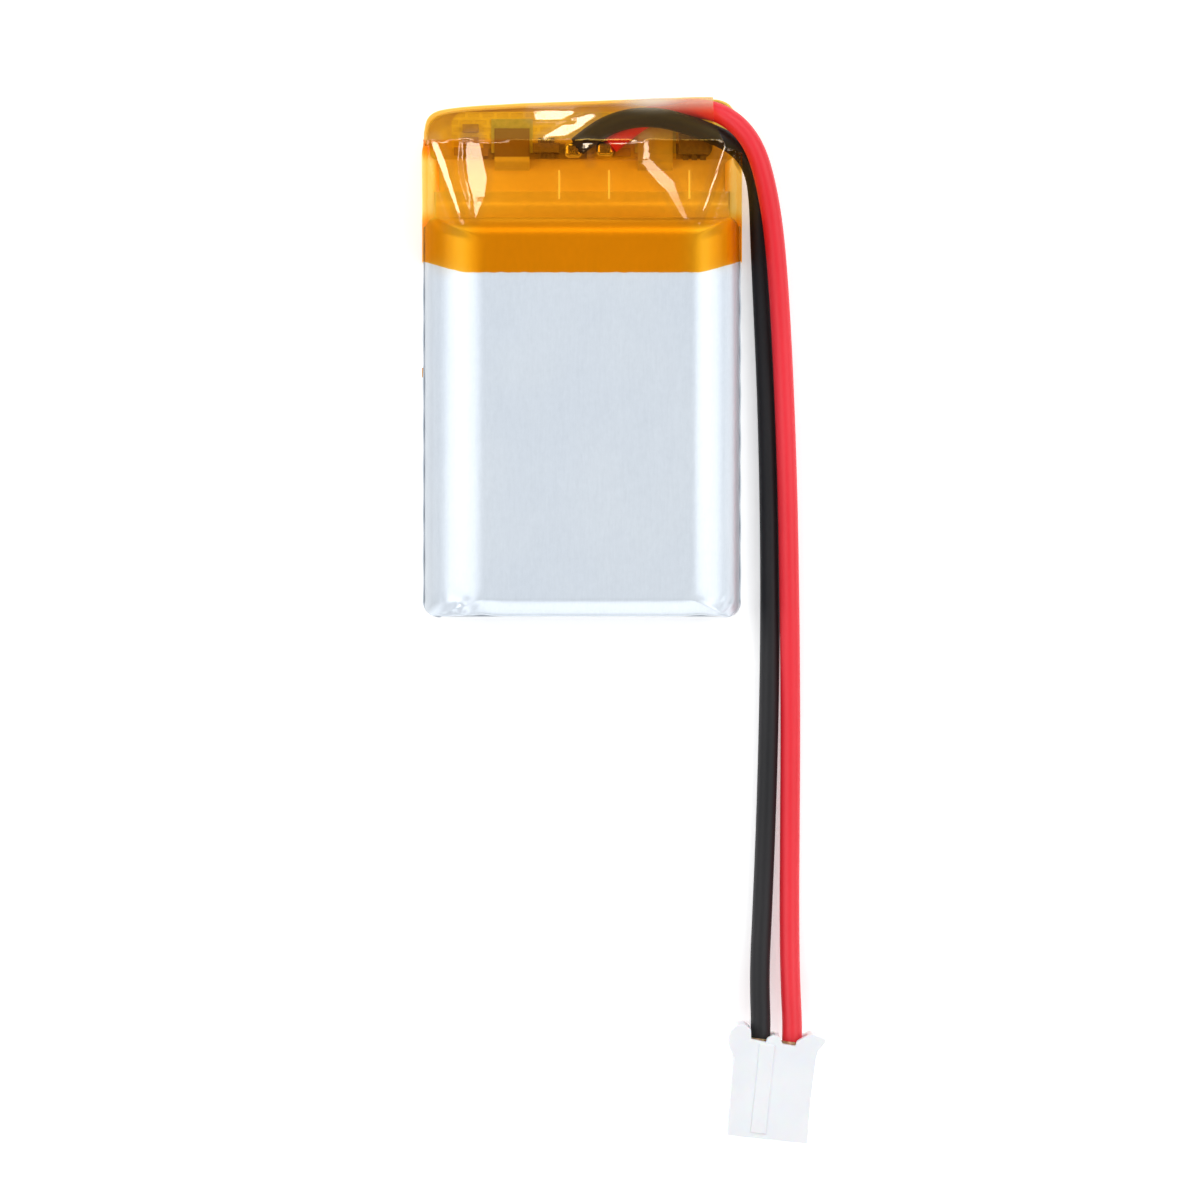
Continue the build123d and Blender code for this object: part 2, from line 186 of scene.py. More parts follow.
def multiplied(tree, a, b):
    mixed = add(tree, "Mix", {0: 1.0, 6: a, 7: b}, data_type="RGBA", blend_type="MULTIPLY")
    return mixed.outputs[2]


def finish_material(material, tree, surface):
    add(tree, "OutputMaterial", {"Surface": surface})
    return material


def principled(
    name, colours, noise_scale, rough, bump=0.0, stretch=(1, 1, 1), bump_scale=None, **sockets
):
    """A Principled material whose colour and roughness vary with noise between two values."""
    material, tree = new_material(name)
    pattern = grain(tree, noise_scale, stretch)
    colour = ramp(tree, pattern, [(0.3, colours[0]), (0.7, colours[1])])
    roughness = add(tree, "MapRange", {"Value": pattern, "To Min": rough[0], "To Max": rough[1]})
    shader = add(tree, "BsdfPrincipled", {"Base Color": colour, "Roughness": roughness.outputs[0]})
    set_sockets(shader, sockets)
    if bump:
        height = grain(tree, bump_scale or noise_scale * 2, stretch)
        bumped = add(tree, "Bump", {"Height": height, "Strength": 1.0, "Distance": bump * MM})
        tree.links.new(bumped.outputs[0], shader.inputs["Normal"])
    return finish_material(material, tree, shader.outputs[0])


WALL_SHADE_Z = (4.4, 5.0)


def foil_material():
    """The pouch's satin aluminium laminate: a fine grain drawn along the cell, under nylon."""
    material, tree = new_material("satin_laminate")
    drawn = grain(tree, 7.0, (1.0, 0.12, 1.0), detail=4, roughness=0.7)
    specks = grain(tree, 4.0, (1.0, 0.6, 1.0), detail=5, roughness=0.7)
    patches = grain(tree, 0.12, detail=2)
    mixed = add(tree, "Mix", {0: 0.5, 2: drawn, 3: specks}, data_type="FLOAT").outputs[0]
    colour = ramp(tree, mixed, [(0.30, (0.75, 0.82, 0.89)), (0.70, (0.83, 0.90, 0.97))])
    tone = ramp(tree, patches, [(0.3, (0.95, 0.96, 0.98)), (0.7, (1.0, 1.0, 1.0))])
    # The walls and the folded seals are painted darker than the front, below a height: painted
    # shade.
    limits = {"From Min": WALL_SHADE_Z[0], "From Max": WALL_SHADE_Z[1]}
    height = add(tree, "MapRange", {"Value": own_axes(tree)[2], **limits})
    wall = blended(tree, height.outputs[0], (0.75, 0.75, 0.75, 1), (1, 1, 1, 1))
    colour = multiplied(tree, multiplied(tree, colour, tone), wall)
    rough = add(tree, "MapRange", {"Value": mixed, "To Min": 0.27, "To Max": 0.38}).outputs[0]
    bump = add(tree, "Bump", {"Height": mixed, "Strength": 0.5, "Distance": 0.008 * MM})
    inputs = {"Base Color": colour, "Roughness": rough, "Normal": bump.outputs[0]}
    inputs |= {"Metallic": 0.25, "Coat Weight": 0.25, "Coat Roughness": 0.3}
    shader = add(tree, "BsdfPrincipled", inputs)
    return finish_material(material, tree, shader.outputs[0])


def film_material():
    """Amber polyimide film. Each face passes the light that film_tint says. film_state holds how
    much it mirrors straight on, in red, and how milky it is, in green."""
    material, tree = new_material("amber_film")
    tint = add(tree, "Attribute", attribute_name="film_tint", attribute_type="GEOMETRY")
    state = add(tree, "Attribute", attribute_name="film_state", attribute_type="GEOMETRY")
    state = add(tree, "SeparateColor", {0: state.outputs["Color"]}).outputs
    waves = grain(tree, 0.9, roughness=0.5)
    scratches = grain(tree, 6.0, (1, 0.25, 1), roughness=0.6)
    height = add(tree, "Mix", {0: 0.12, 2: waves, 3: scratches}, data_type="FLOAT").outputs[0]
    bump = add(tree, "Bump", {"Height": height, "Strength": 0.5, "Distance": 0.03 * MM}).outputs[0]
    facing = add(tree, "LayerWeight", {"Blend": 0.5, "Normal": bump}).outputs["Facing"]
    edge = math_node(tree, "POWER", facing, 5.0)
    grazing = math_node(tree, "MULTIPLY", edge, 0.12)
    mirror = math_node(tree, "ADD", grazing, state["Red"], clamp=True)
    rough = add(tree, "MapRange", {"Value": scratches, "To Min": 0.05, "To Max": 0.11}).outputs[0]
    clear = add(tree, "BsdfTransparent", {"Color": tint.outputs["Color"]})
    milk = add(tree, "BsdfDiffuse", {"Color": (0.9, 0.88, 0.86, 1)})
    body = add(tree, "MixShader", {0: state["Green"], 1: clear.outputs[0], 2: milk.outputs[0]})
    gloss = add(tree, "BsdfGlossy", {"Color": (1, 1, 1, 1), "Roughness": rough, "Normal": bump})
    mixed = add(tree, "MixShader", {0: mirror, 1: body.outputs[0], 2: gloss.outputs[0]})
    return finish_material(material, tree, mixed.outputs[0])


CREAM = (0.93, 0.91, 0.78, 1)
BOARD_EDGE_Y = 12.5


def board_material():
    """Olive solder mask over copper tracks, darker along its lower edge."""
    material, tree = new_material("green_board")
    x, y, _ = own_axes(tree)
    brick = add(
        tree, "TexBrick", {"Vector": own_place(tree, 0.55), "Scale": 1.0, "Mortar Size": 0.06}
    )
    lines = ramp(tree, brick.outputs["Fac"], [(0.4, (0.78, 0.64, 0.05)), (0.6, (0.86, 0.73, 0.08))])
    clouds = grain(tree, 0.45)
    patches = ramp(tree, clouds, [(0.35, (0.90, 0.84, 0.65)), (0.65, (1.12, 1.15, 1.15))])
    colour = multiplied(tree, lines, patches)
    # It is darker along its lower edge, left of the solder joints and right of them.
    low = math_node(tree, "LESS_THAN", y, BOARD_EDGE_Y + 0.95)
    left = math_node(tree, "LESS_THAN", x, 0.3)
    left = math_node(tree, "MULTIPLY", left, math_node(tree, "GREATER_THAN", x, -6.2))
    right = math_node(tree, "GREATER_THAN", x, 5.9)
    sides = math_node(tree, "ADD", left, right, clamp=True)
    dark = math_node(tree, "MULTIPLY", low, sides)
    colour = blended(tree, dark, colour, (0.40, 0.32, 0.14, 1))
    bump = add(tree, "Bump", {"Height": brick.outputs["Fac"], "Distance": 0.02 * MM}).outputs[0]
    shader = add(tree, "BsdfPrincipled", {"Base Color": colour, "Roughness": 0.45, "Normal": bump})
    return finish_material(material, tree, shader.outputs[0])


def zoned_material(name, split_y, below, above, rough=0.5, **sockets):
    """A material of two colours that change at a place along the pack, with a fine grain."""
    material, tree = new_material(name)
    _, y, _ = own_axes(tree)
    limits = {"From Min": split_y - 0.04, "From Max": split_y + 0.04}
    upper = add(tree, "MapRange", {"Value": y, **limits})
    colour = blended(tree, upper.outputs[0], below, above)
    patches = grain(tree, 0.4)
    fibres = ramp(tree, grain(tree, 5.0), [(0.3, (0.94, 0.94, 0.94)), (0.7, (1, 1, 1))])
    shade = ramp(tree, patches, [(0.35, (0.92, 0.90, 0.88)), (0.65, (1.0, 1.0, 1.0))])
    colour = multiplied(tree, multiplied(tree, colour, fibres), shade)
    shader = add(tree, "BsdfPrincipled", {"Base Color": colour, "Roughness": rough})
    set_sockets(shader, sockets)
    bump = add(tree, "Bump", {"Height": patches, "Distance": 0.02 * MM})
    tree.links.new(bump.outputs[0], shader.inputs["Normal"])
    return finish_material(material, tree, shader.outputs[0])


foil = foil_material()
seal_foil = principled(
    "seal_foil", [(0.90, 0.89, 0.82), (0.98, 0.96, 0.88)], 2.0, (0.3, 0.4), 0.01, Metallic=0.1
)
film = film_material()
board_green = board_material()
red_pvc = principled(
    "red_pvc", [(0.80, 0.010, 0.022), (0.90, 0.022, 0.040)], 0.5, (0.42, 0.52), 0.01,
    (1, 0.15, 1), 2.0, Coat_Weight=0.05, Coat_Roughness=0.35,
    Subsurface_Weight=0.06, Subsurface_Scale=0.0004,
)
black_pvc = principled(
    "black_pvc", [(0.010, 0.010, 0.012), (0.020, 0.019, 0.021)], 0.5, (0.48, 0.58), 0.012,
    (1, 0.15, 1), 2.0, Specular_IOR_Level=0.35,
)
nylon = principled(
    "white_nylon", [(0.86, 0.89, 0.93), (0.91, 0.93, 0.96)], 0.25, (0.34, 0.46), 0.006,
    (1, 1, 1), 3.0, Subsurface_Weight=0.25, Subsurface_Scale=0.0006,
)
tinned = principled(
    "tinned_copper", [(0.62, 0.60, 0.57), (0.80, 0.78, 0.74)], 3.0, (0.22, 0.35), Metallic=1.0
)
solder = principled(
    "solder", [(0.66, 0.66, 0.68), (0.82, 0.82, 0.83)], 1.4, (0.18, 0.35), 0.02, Metallic=1.0
)
bronze = principled(
    "contact_bronze", [(0.62, 0.40, 0.20), (0.80, 0.58, 0.32)], 1.2, (0.24, 0.38), Metallic=1.0
)
nickel = principled(
    "nickel", [(0.60, 0.64, 0.30), (0.74, 0.76, 0.40)], 3.0, (0.3, 0.45), 0.01, Metallic=0.4
)
# Painted shade: the negative tab is dark brown from the board's edge on, for the dark surroundings
# it mirrors, and cream like the paper below that.
shaded_nickel = zoned_material("shaded_nickel", 12.6, CREAM, (0.32, 0.24, 0.10, 1))
aluminium = zoned_material(
    "aluminium_tab", 12.75, CREAM, (0.86, 0.84, 0.62, 1), 0.4, Metallic=0.3
)
# Painted light: the sealing film and the paper glow a little, standing in for light that scatters
# inside the film's layers and reaches what lies on them.
PAINTED_GLOW = {"Emission_Color": (1.0, 0.45, 0.10, 1), "Emission_Strength": 0.15}
sealant_film = zoned_material("sealant_film", 20.0, CREAM, CREAM, **PAINTED_GLOW)
fish_paper = zoned_material(
    "insulation_paper", BOARD_EDGE_Y, CREAM, (0.74, 0.66, 0.10, 1), 0.6, **PAINTED_GLOW
)
# Painted light: the chips are lighter and browner than black epoxy, standing in for the haze of the
# film over them.
chip_black = principled(
    "chip_epoxy", [(0.20, 0.165, 0.10), (0.27, 0.22, 0.14)], 4.0, (0.45, 0.6), 0.01
)
ceramic = principled(
    "chip_ceramic", [(0.42, 0.30, 0.12), (0.52, 0.38, 0.18)], 3.0, (0.35, 0.5), 0.01
)
graphite = principled(
    "graphite_layer", [(0.03, 0.03, 0.035), (0.07, 0.07, 0.075)], 3.0, (0.6, 0.75), 0.01
)
cobalt = principled(
    "cathode_layer", [(0.02, 0.02, 0.02), (0.05, 0.048, 0.045)], 3.0, (0.55, 0.7), 0.01
)
separator = principled(
    "separator_film", [(0.80, 0.81, 0.82), (0.90, 0.90, 0.90)], 2.0, (0.4, 0.5), 0.01
)
wing_scrap = principled(
    "wing_scrap", [(0.75, 0.30, 0.02), (0.85, 0.40, 0.05)], 1.0, (0.1, 0.2), Coat_Weight=0.5
)
roll_green = principled(
    "roll_film", [(0.10, 0.30, 0.16), (0.16, 0.42, 0.22)], 2.0, (0.3, 0.4), 0.01
)

CAD_LOOKS = {
    "pcm_board": board_green,
    "positive_tab": aluminium,
    "negative_tab": shaded_nickel,
    "positive_tab_sealant": sealant_film,
    "negative_tab_sealant": sealant_film,
    "positive_weld_pad": nickel,
    "negative_weld_pad": nickel,
    "protection_ic": chip_black,
    "mosfet_pair": chip_black,
    "chip_resistors": ceramic,
    "chip_capacitors": ceramic,
    "red_solder_joint": solder,
    "black_solder_joint": solder,
    "red_terminal": bronze,
    "black_terminal": bronze,
    "cathode_strip": cobalt,
    "anode_strip": graphite,
    "separator_inner": separator,
    "separator_outer": separator,
    "roll_tape": roll_green,
    "wing_tape": wing_scrap,
}
for node_name, look in CAD_LOOKS.items():
    nodes[node_name].data.materials.clear()
    nodes[node_name].data.materials.append(look)

# ---------------------------------------------------------------- the leads

LEAD_DIAMETER = 1.25
PLUG_ORIGIN = (11.56, -48.84)
PLUG_TILT = math.radians(6.0)
CONTACT_X, CONTACT_Z = 1.0, 2.25
JACKET_END, MOUTH = 4.75, 6.3


def plug_point(x, along):
    """A place on a contact's axis, in the pack's frame."""
    c, s = math.cos(PLUG_TILT), math.sin(PLUG_TILT)
    return PLUG_ORIGIN[0] + x * c + along * s, PLUG_ORIGIN[1] - x * s + along * c, CONTACT_Z


ROUTES = {
    "red": [
        (1.75, 13.35, 1.56), (2.9, 14.3, 1.57), (4.0, 15.06, 1.66), (5.2, 15.40, 1.92),
        (6.95, 15.57, 2.38), (8.4, 15.34, 2.86), (9.58, 14.62, 3.2), (10.46, 13.6, 3.34),
        (11.04, 12.4, 3.3), (11.5, 10.75, 3.08), (11.9, 8.6, 2.72), (12.2, 5.9, 2.28),
        (12.47, 2.0, 1.84), (12.74, -3.6, 1.48), (12.93, -9.8, 1.4), (13.03, -16.2, 1.3),
        (13.1, -22.6, 0.78), (13.06, -29.2, 0.66), (13.02, -34.8, 0.72), (13.05, -39.0, 1.35),
        plug_point(CONTACT_X, MOUTH), plug_point(CONTACT_X, JACKET_END),
    ],
    "black": [
        (-0.25, 13.25, 1.56), (0.75, 14.05, 1.9), (2.0, 14.66, 2.55), (3.4, 14.95, 3.1),
        (5.0, 14.9, 3.3), (6.6, 14.48, 3.06), (8.0, 14.0, 2.55), (9.32, 13.44, 2.12),
        (10.3, 12.6, 1.82), (10.88, 11.4, 1.58), (11.1, 9.7, 1.34), (11.17, 7.4, 1.05),
        (11.35, 3.6, 0.76), (11.62, -2.4, 0.66), (11.78, -9.0, 0.65), (11.83, -15.5, 0.65),
        (11.75, -22.0, 0.65), (11.58, -28.5, 0.65), (11.33, -34.6, 0.70), (11.12, -38.8, 1.30),
        plug_point(-CONTACT_X, MOUTH), plug_point(-CONTACT_X, JACKET_END),
    ],
}


def lead_curve(name, points, bevel):
    """A NURBS curve with the route's points as its control points."""
    curve = bpy.data.curves.new(name, "CURVE")
    curve.dimensions = "3D"
    spline = curve.splines.new("NURBS")
    spline.points.add(len(points) - 1)
    for point, place_at in zip(spline.points, points):
        point.co = (*(c * MM for c in place_at), 1)
    spline.order_u = 3
    spline.use_endpoint_u = True
    spline.use_smooth = True
    curve.resolution_u = 16
    curve.bevel_depth = bevel * MM
    curve.bevel_resolution = 8 if bevel else 0
    curve.use_fill_caps = True
    return curve


def centreline(points):
    """The NURBS line through a route's points, as an array in millimetres."""
    bare = lead_curve("measure", points, 0)
    holder = bpy.data.objects.new("measure", bare)
    link(holder)
    bpy.context.view_layer.update()
    line = bpy.data.meshes.new_from_object(holder)
    found = np.array([v.co for v in line.vertices]) / MM
    bpy.data.objects.remove(holder)
    bpy.data.meshes.remove(line)
    bpy.data.curves.remove(bare)
    return found


def carried_frames(path):
    """For each point of a path, two directions across it that carry on without a twist."""
    tangents = np.gradient(path, axis=0)
    tangents /= np.linalg.norm(tangents, axis=1)[:, None]
    across = np.cross(tangents[0], (0, 0, 1.0))
    frames = []
    for along in tangents:
        across = across - along * across.dot(along)
        across /= np.linalg.norm(across)
        frames.append((across, np.cross(across, along)))
    return frames


def tube_rings(path, radius, sides):
    """Rings of points round a path, and the faces of a closed tube."""
    points = []
    for here, (across, up) in zip(path, carried_frames(path)):
        for k in range(sides):
            angle = 2 * math.pi * k / sides
            points.append(here + radius * (math.cos(angle) * across + math.sin(angle) * up))
    faces = []
    for i in range(len(path) - 1):
        for k in range(sides):
            a, b = i * sides + k, i * sides + (k + 1) % sides
            faces.append((a, b, b + sides, a + sides))
    faces.append(tuple(range(sides))[::-1])
    faces.append(tuple(range(len(points) - sides, len(points))))
    return points, faces


def tubes_piece(name, paths, radius, sides, material):
    """One mesh piece of a closed tube along each path."""
    points, faces = [], []
    for path in paths:
        ring, quads = tube_rings(path, radius, sides)
        faces += [tuple(k + len(points) for k in face) for face in quads]
        points += ring
    return mesh_piece(name, points, faces, material)


def spaced(line, step):
    """The same line with its points evenly spaced, about a step apart."""
    lengths = np.linalg.norm(np.diff(line, axis=0), axis=1)
    steps = np.concatenate([[0], np.cumsum(lengths)])
    along = np.linspace(0, steps[-1], int(steps[-1] / step))
    return along, np.stack([np.interp(along, steps, line[:, k]) for k in range(3)], axis=1)


BARE_START, BARE_END = 0.8, 1.3
STRAND_RADIUS, LAY_RADIUS, LAY_PITCH = 0.077, 0.155, 6.0


def stranded_core(name, route, material):
    """Seven tinned strands, six laid round the middle one, bare past both ends of the jacket."""
    line = centreline(route)
    start = line[0] - (line[1] - line[0]) / np.linalg.norm(line[1] - line[0]) * BARE_START
    end = line[-1] + (line[-1] - line[-2]) / np.linalg.norm(line[-1] - line[-2]) * BARE_END
    along, line = spaced(np.vstack([start, line, end]), 0.45)
    frames = carried_frames(line)
    paths = []
    for strand in range(7):
        radius = 0 if strand == 6 else LAY_RADIUS
        turn = 2 * math.pi * (strand / 6 + along / LAY_PITCH)
        paths.append(np.array([
            here + radius * (math.cos(angle) * across + math.sin(angle) * up)
            for here, (across, up), angle in zip(line, frames, turn)
        ]))
    return tubes_piece(name, paths, STRAND_RADIUS, 7, material)


leads, cores = {}, {}
for colour, look in (("red", red_pvc), ("black", black_pvc)):
    route, name = ROUTES[colour], f"lead_{colour}"
    leads[colour] = place(lead_curve(name, route, LEAD_DIAMETER / 2), name, look)
    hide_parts(f"{colour}_lead")
    cores[colour] = stranded_core(f"core_{colour}", route, tinned)
    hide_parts(f"{colour}_conductor")

# ---------------------------------------------------------------- the connector


def softened_housing():
    """The connector's CAD shape, with its edges rounded as moulded nylon's are."""
    built = bmesh.new()
    built.from_mesh(nodes["connector_housing"].data)
    bmesh.ops.remove_doubles(built, verts=built.verts, dist=0.002 * MM)
    bmesh.ops.dissolve_limit(
        built, angle_limit=math.radians(1), verts=built.verts, edges=built.edges
    )
    mesh = bpy.data.meshes.new("housing")
    built.to_mesh(mesh)
    built.free()
    piece = place(mesh, "housing", nylon)
    modified(
        piece, "BEVEL", width=0.14 * MM, segments=3,
        limit_method="ANGLE", angle_limit=math.radians(30),
    )
    piece.data.shade_smooth()
    modified(piece, "WEIGHTED_NORMAL", keep_sharp=True)
    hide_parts("connector_housing")
    return piece


housing = softened_housing()

# ---------------------------------------------------------------- the pouch

LAMINATE = 0.12
CUP_HALF, CUP_LOW, CUP_HIGH = 9.82, -16.26, 8.60
FRONT_Z = 5.93
SIDE_RADIUS, END_RADIUS, TOP_RADIUS = 3.02, 1.15, 1.5
FLAT_X = (-6.15, 6.8)
SEAL_X, SEAL_INNER_X, SEAL_CORNER = 9.87, 9.745, 0.85
WING_TOP = 3.0
TERRACE_HALF, TERRACE_GAPS = 9.3, (0.13, -8.2, 8.2)


def rounded_loop(x, y, radius, count):
    """Places round a rectangle with rounded corners. x and y are its limits, and count says how
    many places each side along x, each side along y and each corner has. Returns the places and,
    for each, how far it faces along y, 0 to 1."""
    places, ends = [], []
    straight_x, straight_y, arc = count
    low_x, high_x = x[0] + radius, x[1] - radius
    low_y, high_y = y[0] + radius, y[1] - radius
    corners = [(high_x, low_y, -90), (high_x, high_y, 0), (low_x, high_y, 90), (low_x, low_y, 180)]
    sides = [straight_y, straight_x, straight_y, straight_x]
    for k, (cx, cy, start) in enumerate(corners):
        for step in range(arc):
            angle = math.radians(start + 90 * step / arc)
            places.append((cx + radius * math.cos(angle), cy + radius * math.sin(angle)))
            ends.append(math.sin(angle) ** 2)
        nx, ny, _ = corners[(k + 1) % 4]
        angle = math.radians(start + 90)
        ax, ay = cx + radius * math.cos(angle), cy + radius * math.sin(angle)
        bx, by = nx + radius * math.cos(angle), ny + radius * math.sin(angle)
        for step in range(sides[k]):
            t = step / sides[k]
            places.append((ax + (bx - ax) * t, ay + (by - ay) * t))
            ends.append(math.sin(angle) ** 2)
    return np.array(places), np.array(ends)


def chamfer(angle, slope_share, start, tightness):
    """How far down its height, 0 to 1, a chamfer that rounds off is at an angle of its quarter
    turn. slope_share of the height is in its slope, which begins more gently for a larger start,
    and the rest is in its round, which comes later for a larger tightness."""
    out = math.sin(angle)
    slope = (1 + start) * out ** 2 / (out + start)
    return slope_share * slope + (1 - slope_share) * (1 - math.cos(angle)) ** tightness


def pouch_cup():
    """The drawn front sheet: a flat front, rolled edges, walls, and pleated bottom corners."""
    count = (110, 130, 22)
    outer, facing = rounded_loop((-CUP_HALF, CUP_HALF), (CUP_LOW, CUP_HIGH), 0.72, count)
    inner, _ = rounded_loop(FLAT_X, (CUP_LOW + END_RADIUS, CUP_HIGH - TOP_RADIUS), 0.35, count)
    height = SIDE_RADIUS + (END_RADIUS - SIDE_RADIUS) * facing
    total = len(outer)
    rings = []
    middle = np.array([0.0, (CUP_LOW + CUP_HIGH) / 2])
    for share in (0.12, 0.24, 0.36, 0.48, 0.6, 0.71, 0.81, 0.89, 0.95, 0.985):
        ring = middle + (inner - middle) * share
        rings.append(np.column_stack([ring, np.full(total, FRONT_Z)]))
    for step in range(25):
        angle = math.radians(90 * step / 24)
        plan = inner + (outer - inner) * math.sin(angle)
        # The top end is round. The others are chamfers that round off, the bottom one tightly.
        rounded = 1 - math.cos(angle)
        tight = chamfer(angle, 0.45, 0.3, 7)
        wide = chamfer(angle, 0.40, 0.7, 1.8)
        share = wide * (1 - facing) + np.where(outer[:, 1] < 0, tight, rounded) * facing
        rings.append(np.column_stack([plan, FRONT_Z - height * share]))
    base = rings[-1]
    floor_z = np.where((facing > 0.5) & (outer[:, 1] > 0), 0.44, LAMINATE)
    beside_seal = (1 - facing) * np.sign(outer[:, 0])
    for step in range(1, 15):
        t = step / 14
        tuck = 0.24 * smoothstep(0.0, 0.1, t)
        plan = outer - np.column_stack([tuck * beside_seal, np.zeros(total)])
        rings.append(np.column_stack([plan, base[:, 2] + (floor_z - base[:, 2]) * t]))
    rings = np.array(rings)
    x, y, z = rings[..., 0], rings[..., 1], rings[..., 2]

    # The front is not quite flat, and the drawn ends ripple where the sheet was gathered.
    bare = 1 - smoothstep(3.5, 5.0, y)
    shoulder = smoothstep(FRONT_Z - 2.6, FRONT_Z - 0.02, z)
    z += 0.022 * ripple(x, y, 0.16, 3.0) * bare * shoulder
    low_end = 1 - smoothstep(CUP_LOW + 0.3, CUP_LOW + 1.9, y)
    lowest_end = 1 - smoothstep(CUP_LOW + 0.9, CUP_LOW + 1.7, y)
    wall = 1 - smoothstep(FRONT_Z - 2.2, FRONT_Z - 0.3, z)
    left_corner = np.exp(-(((x + 8.0) / 1.8) ** 2)) * low_end
    right_corner = np.exp(-(((x - 9.1) / 0.7) ** 2)) * lowest_end
    gather = np.sin(x * 3.4 + y * 2.2 + 0.6) + 0.5 * np.sin(x * 6.9 - y * 3.0 + 1.9)
    pleats = np.sin(np.hypot(x - 8.0, y + 14.7) * 13.0)
    lifted = 0.075 * right_corner * pleats * smoothstep(1.5, 2.5, z)
    z += 0.09 * left_corner * gather * shoulder + lifted
    y += 0.03 * left_corner * gather + 0.04 * right_corner * pleats
    # The bottom wall is drawn in where each long edge's roll ends.
    for middle_x, width, depth in ((-6.4, 0.9, 0.26), (7.3, 0.7, 0.22), (-8.8, 0.5, 0.10)):
        dent = np.exp(-(((x - middle_x) / width) ** 2)) * low_end
        y += depth * dent * (0.35 + 0.65 * wall)
        z -= 0.05 * dent * shoulder
    rings = np.stack([x, y, z], axis=-1)

    points = [*rings.reshape(-1, 3)]
    faces = []
    for r in range(len(rings) - 1):
        for k in range(total):
            a, b = r * total + k, r * total + (k + 1) % total
            faces.append((a, a + total, b + total, b))
    points.append((middle[0], middle[1], FRONT_Z))
    faces += [(len(points) - 1, k, (k + 1) % total) for k in range(total)]
    piece = mesh_piece("pouch_front", points, faces, foil)
    modified(piece, "SOLIDIFY", thickness=LAMINATE * MM, offset=-1.0)
    piece.data.shade_smooth()
    return piece


def strip_mesh(name, paths, thickness, material):
    """A sheet through a list of equal-length point rows, given a thickness."""
    rows, columns = len(paths), len(paths[0])
    points = [p for path in paths for p in path]
    faces = [
        (r * columns + c, r * columns + c + 1, (r + 1) * columns + c + 1, (r + 1) * columns + c)
        for r in range(rows - 1)
        for c in range(columns - 1)
    ]
    piece = mesh_piece(name, points, faces, material)
    modified(piece, "SOLIDIFY", thickness=thickness * MM, offset=0.0)
    piece.data.shade_smooth()
    return piece


def seal_wave(y, side):
    """How much a folded seal's top edge waves at a place along the cell."""
    return 0.05 * math.sin(y * 1.3 + 2 * side) + 0.03 * math.sin(y * 3.7 + side)


def back_sheet():
    """The back sheet: round bottom corners, and both side seals folded up beside the cup."""
    rows = []
    for y in np.concatenate([np.linspace(CUP_LOW, -15.2, 14), np.linspace(-15.0, 8.3, 110)]):
        # Under the tape the sheet lies a film's thickness higher.
        base = LAMINATE / 2 + 0.07 * smoothstep(4.75, 5.05, y)
        fold = base + 0.16
        from_end = np.clip(SEAL_CORNER - (y - CUP_LOW), 0, SEAL_CORNER)
        pull = SEAL_CORNER - math.sqrt(max(SEAL_CORNER ** 2 - from_end ** 2, 0))
        out = SEAL_X - pull
        rise = smoothstep(-16.2, -15.3, y) * smoothstep(8.32, 8.1, y)
        row = []
        for side in (-1, 1):
            top = base + 0.1 + (WING_TOP - 0.12 - base + 0.7 * seal_wave(y, side)) * rise
            lean = 0.02 * math.sin(y * 2.3 + side)
            profile = [(out + lean * k / 5, fold + (top - fold) * k / 5) for k in range(5, 0, -1)]
            profile += [(out, fold), (out - 0.04, base + 0.07), (out - 0.12, base + 0.01)]
            row.append([(side * x, y, z) for x, z in (profile if side < 0 else profile[::-1])])
        reach = out - 0.2
        flat = [(x, y, base) for x in np.linspace(-reach, reach, 40)]
        rows.append(row[0] + flat + row[1])
    return strip_mesh("pouch_back", rows, LAMINATE, foil)


def inner_seal(side):
    """The cup sheet's part of a folded side seal, between the back sheet's and the cup's wall."""
    rows = []
    for y in np.linspace(-15.9, 8.2, 110):
        rise = smoothstep(-15.95, -15.2, y) * smoothstep(8.32, 8.0, y)
        top = 0.4 + (WING_TOP - 0.5 + 0.7 * seal_wave(y, side)) * rise
        rows.append([(side * SEAL_INNER_X, y, 0.3 + (top - 0.3) * k / 7) for k in range(8)])
    name = "seal_left" if side < 0 else "seal_right"
    return strip_mesh(name, rows, LAMINATE * 0.9, foil)


def terrace(name, low, high, z, foot, look):
    """A sheet of the seal beyond the cup. It leaves the cup's wall in a curve foot high, and dips a
    little in the three places where no tab's film lies in it."""
    rows = []
    for y in np.linspace(low, high, 40):
        row = []
        rise = foot * (1 - smoothstep(low, high - 0.1, y)) ** 2
        for x in np.linspace(-TERRACE_HALF, TERRACE_HALF, 120):
            between = min(abs(x - middle) for middle in TERRACE_GAPS)
            dip = 0.05 * (1 - smoothstep(1.2, 1.6, between)) * smoothstep(low + 0.1, low + 0.6, y)
            row.append((x, y, z - dip + rise))
        rows.append(row)
    return strip_mesh(name, rows, LAMINATE, look)


pouch_front = pouch_cup()
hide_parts("pouch_front_cup")
pouch_back = back_sheet()
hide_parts("pouch_back_sheet")
for seal_side in (-1, 1):
    inner_seal(seal_side)
terrace_front = terrace("terrace_front", 8.45, 10.47, 0.38, 0.85, seal_foil)
terrace_back = terrace("terrace_back", 8.2, 10.47, 0.13, 0.0, foil)

# ---------------------------------------------------------------- the tape

TAPE_LOW_Y, CREASE_Y = 5.12, 13.4
TAPE_HALF = 10.0
FILM = 0.05
BACK_RADIUS = 0.25
FRONT_PROFILE_Y = (5.0, 7.55, 8.4, 13.4, 15.5, 16.3)
FRONT_PROFILE_Z = (6.0, 6.0, 5.90, 5.02, 3.80, 3.15)
END_PLAN = [
    (-9.86, 13.4), (-9.84, 14.1), (-9.7, 14.8), (-9.25, 15.25), (-8.5, 15.45), (-7.2, 15.62),
    (-3.5, 15.85), (0.5, 15.97), (4.4, 16.14), (8.25, 16.28), (9.0, 16.1), (9.5, 15.7),
    (9.85, 15.1), (10.0, 14.4), (10.0, 13.4),
]
